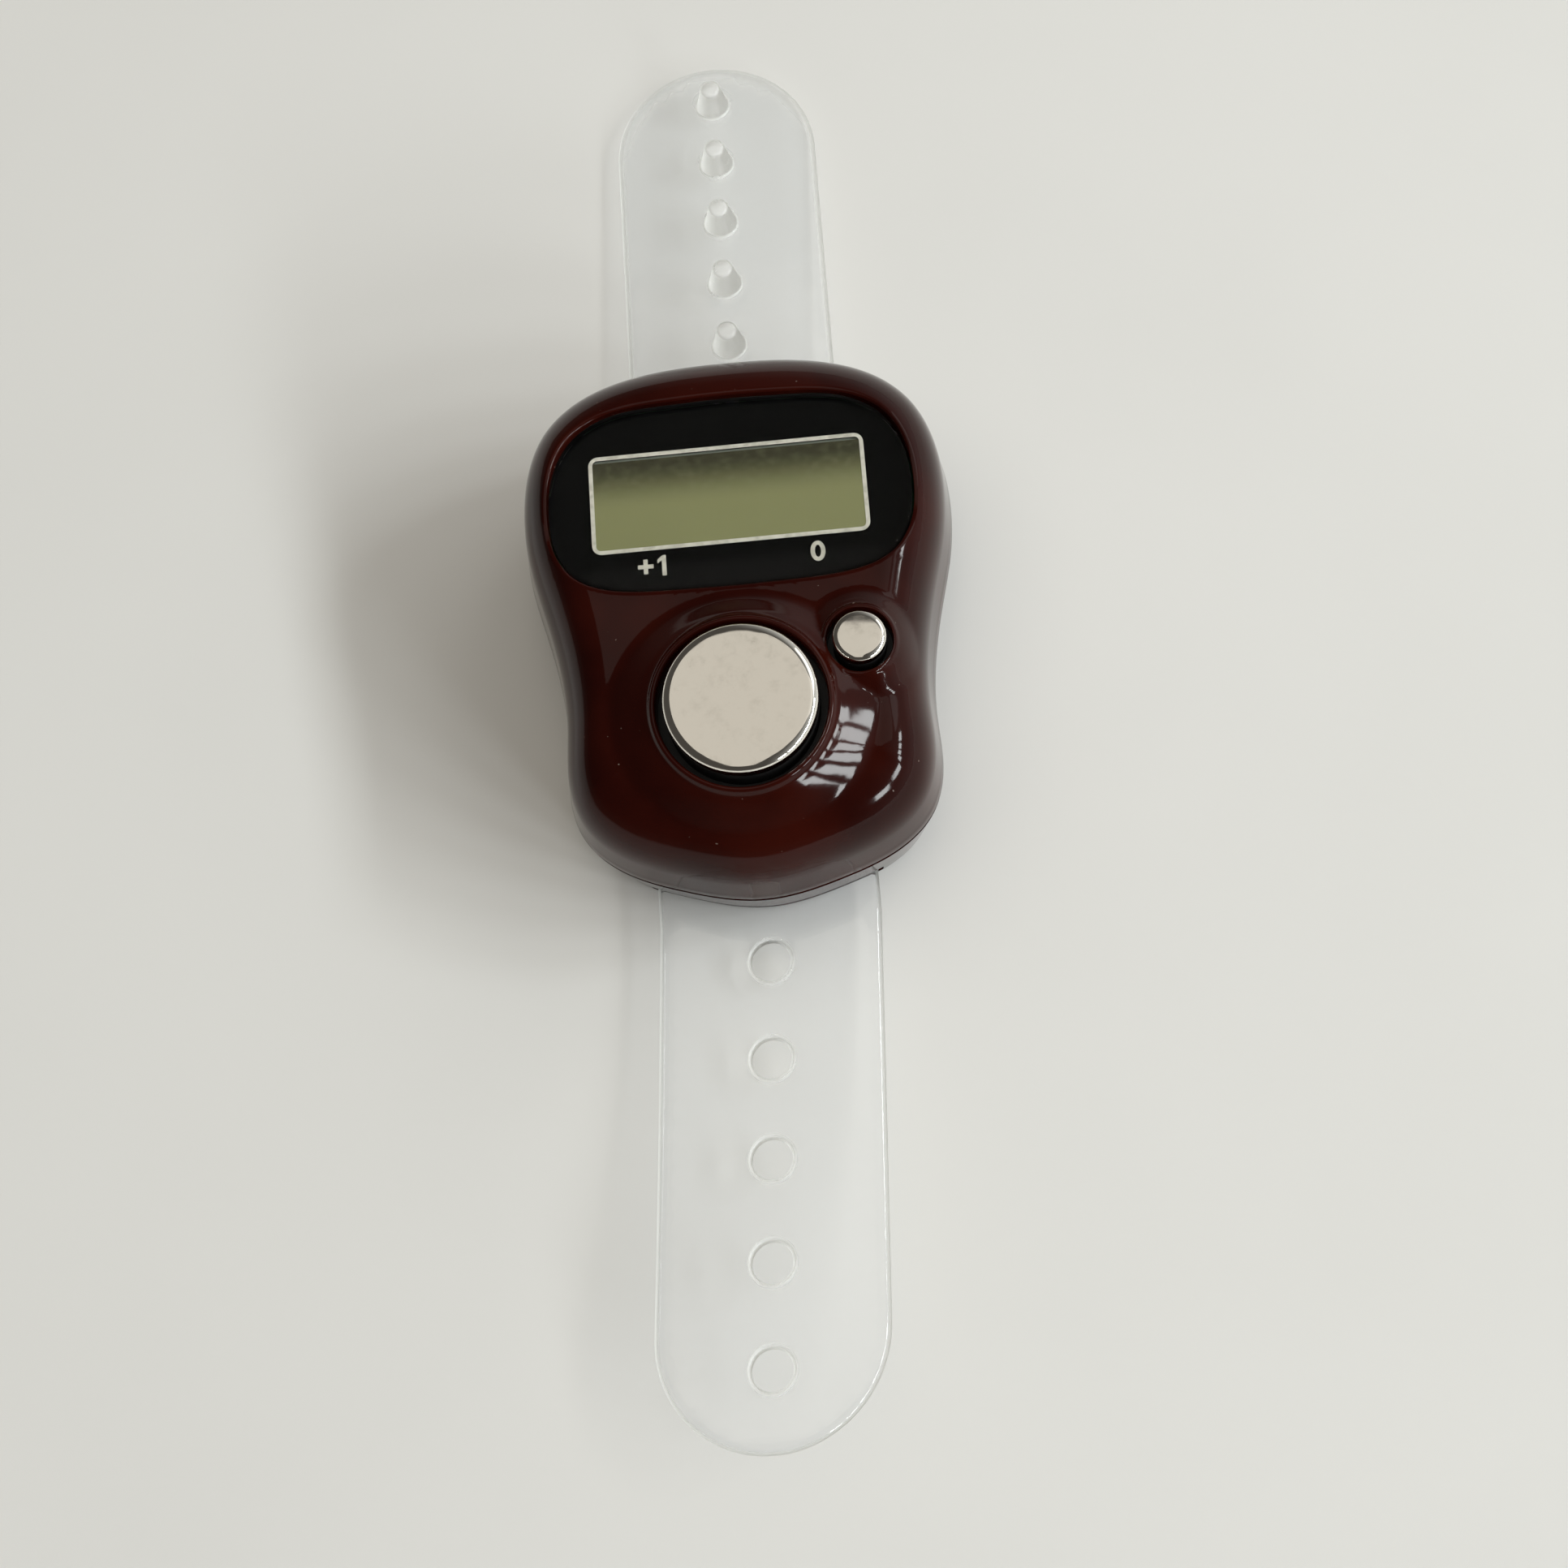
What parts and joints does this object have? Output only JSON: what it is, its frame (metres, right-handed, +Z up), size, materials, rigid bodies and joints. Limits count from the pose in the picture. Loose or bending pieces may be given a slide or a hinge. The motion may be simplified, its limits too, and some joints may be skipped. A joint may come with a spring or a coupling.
{
  "type": "digital tasbih counter",
  "caption": "Finger tally counter with a gloss split casing, a dark display window, a large count button, a small reset button and a clear flexible strap closed by pegs.",
  "frame": {"origin": "centre of the whole box on the plane that the two rear feet stand on", "axes": "+Y along the strap towards the display end, +Z up out of the face, +X to the side of the small button"},
  "size_m": [0.027, 0.0932, 0.0161],
  "materials": {
    "casing": "high gloss reddish brown",
    "window_clear": "clear gloss",
    "window_print": "black print",
    "lcd_film": "grey-green film",
    "lcd_glass": "clear gloss",
    "zebra_rubber": "matt",
    "foam": "matt foam",
    "board": "green solder resist",
    "gold_pads": "gold plated",
    "epoxy": "black epoxy",
    "chip_parts": "ceramic",
    "plain_steel": "plated",
    "nylon": "matt",
    "spring_steel": "nickel plated",
    "button_plating": "bright plated",
    "silicone": "matt",
    "carbon_rubber": "matt",
    "strap_clear": "clear gloss"
  },
  "bodies": {
    "casing": {"front_shell": "casing", "rear_shell": "casing", "window_lens": "window_clear", "window_mask": "window_print", "lcd_front_polariser": "lcd_film", "lcd_front_glass": "lcd_glass", "lcd_rear_glass": "lcd_glass", "lcd_rear_polariser": "lcd_film", "zebra_strip": "zebra_rubber", "lcd_foam_pad": "foam", "circuit_board": "board", "contact_pads": "gold_pads", "chip_blob": "epoxy", "chip_resistor": "chip_parts", "chip_capacitor": "chip_parts", "cell_can": "plain_steel", "cell_gasket": "nylon", "cell_cap": "plain_steel", "negative_contact": "spring_steel", "positive_contact": "spring_steel", "case_screws": "plain_steel", "board_screws": "plain_steel", "count_dome": "silicone", "reset_dome": "silicone", "strap_centre": "strap_clear"},
    "count_key": {"count_button": "button_plating", "count_pill": "carbon_rubber"},
    "reset_key": {"reset_button": "button_plating", "reset_pill": "carbon_rubber"},
    "peg_tail": {"strap_peg_tail": "strap_clear"},
    "hole_tail": {"strap_hole_tail": "strap_clear"}
  },
  "joints": [
    {"name": "count_press", "type": "slide", "parent": "casing", "child": "count_key", "axis": [0, 0, -1], "range_m": [0, 0.0008], "stiffness_N_per_m": 1200, "deforming": ["count_dome"]},
    {"name": "reset_press", "type": "slide", "parent": "casing", "child": "reset_key", "axis": [0, 0, -1], "range_m": [0, 0.0006], "stiffness_N_per_m": 1200, "deforming": ["reset_dome"]},
    {"name": "peg_tail_bend", "type": "hinge", "parent": "casing", "child": "peg_tail", "pos_m": [0, 0.01978, 0.00147], "axis": [-1, 0, 0], "range_deg": [-30, 100], "stiffness_Nm_per_rad": 0.004},
    {"name": "hole_tail_bend", "type": "hinge", "parent": "casing", "child": "hole_tail", "pos_m": [0, -0.01522, 0.00147], "axis": [1, 0, 0], "range_deg": [-30, 100], "stiffness_Nm_per_rad": 0.004}
  ]
}
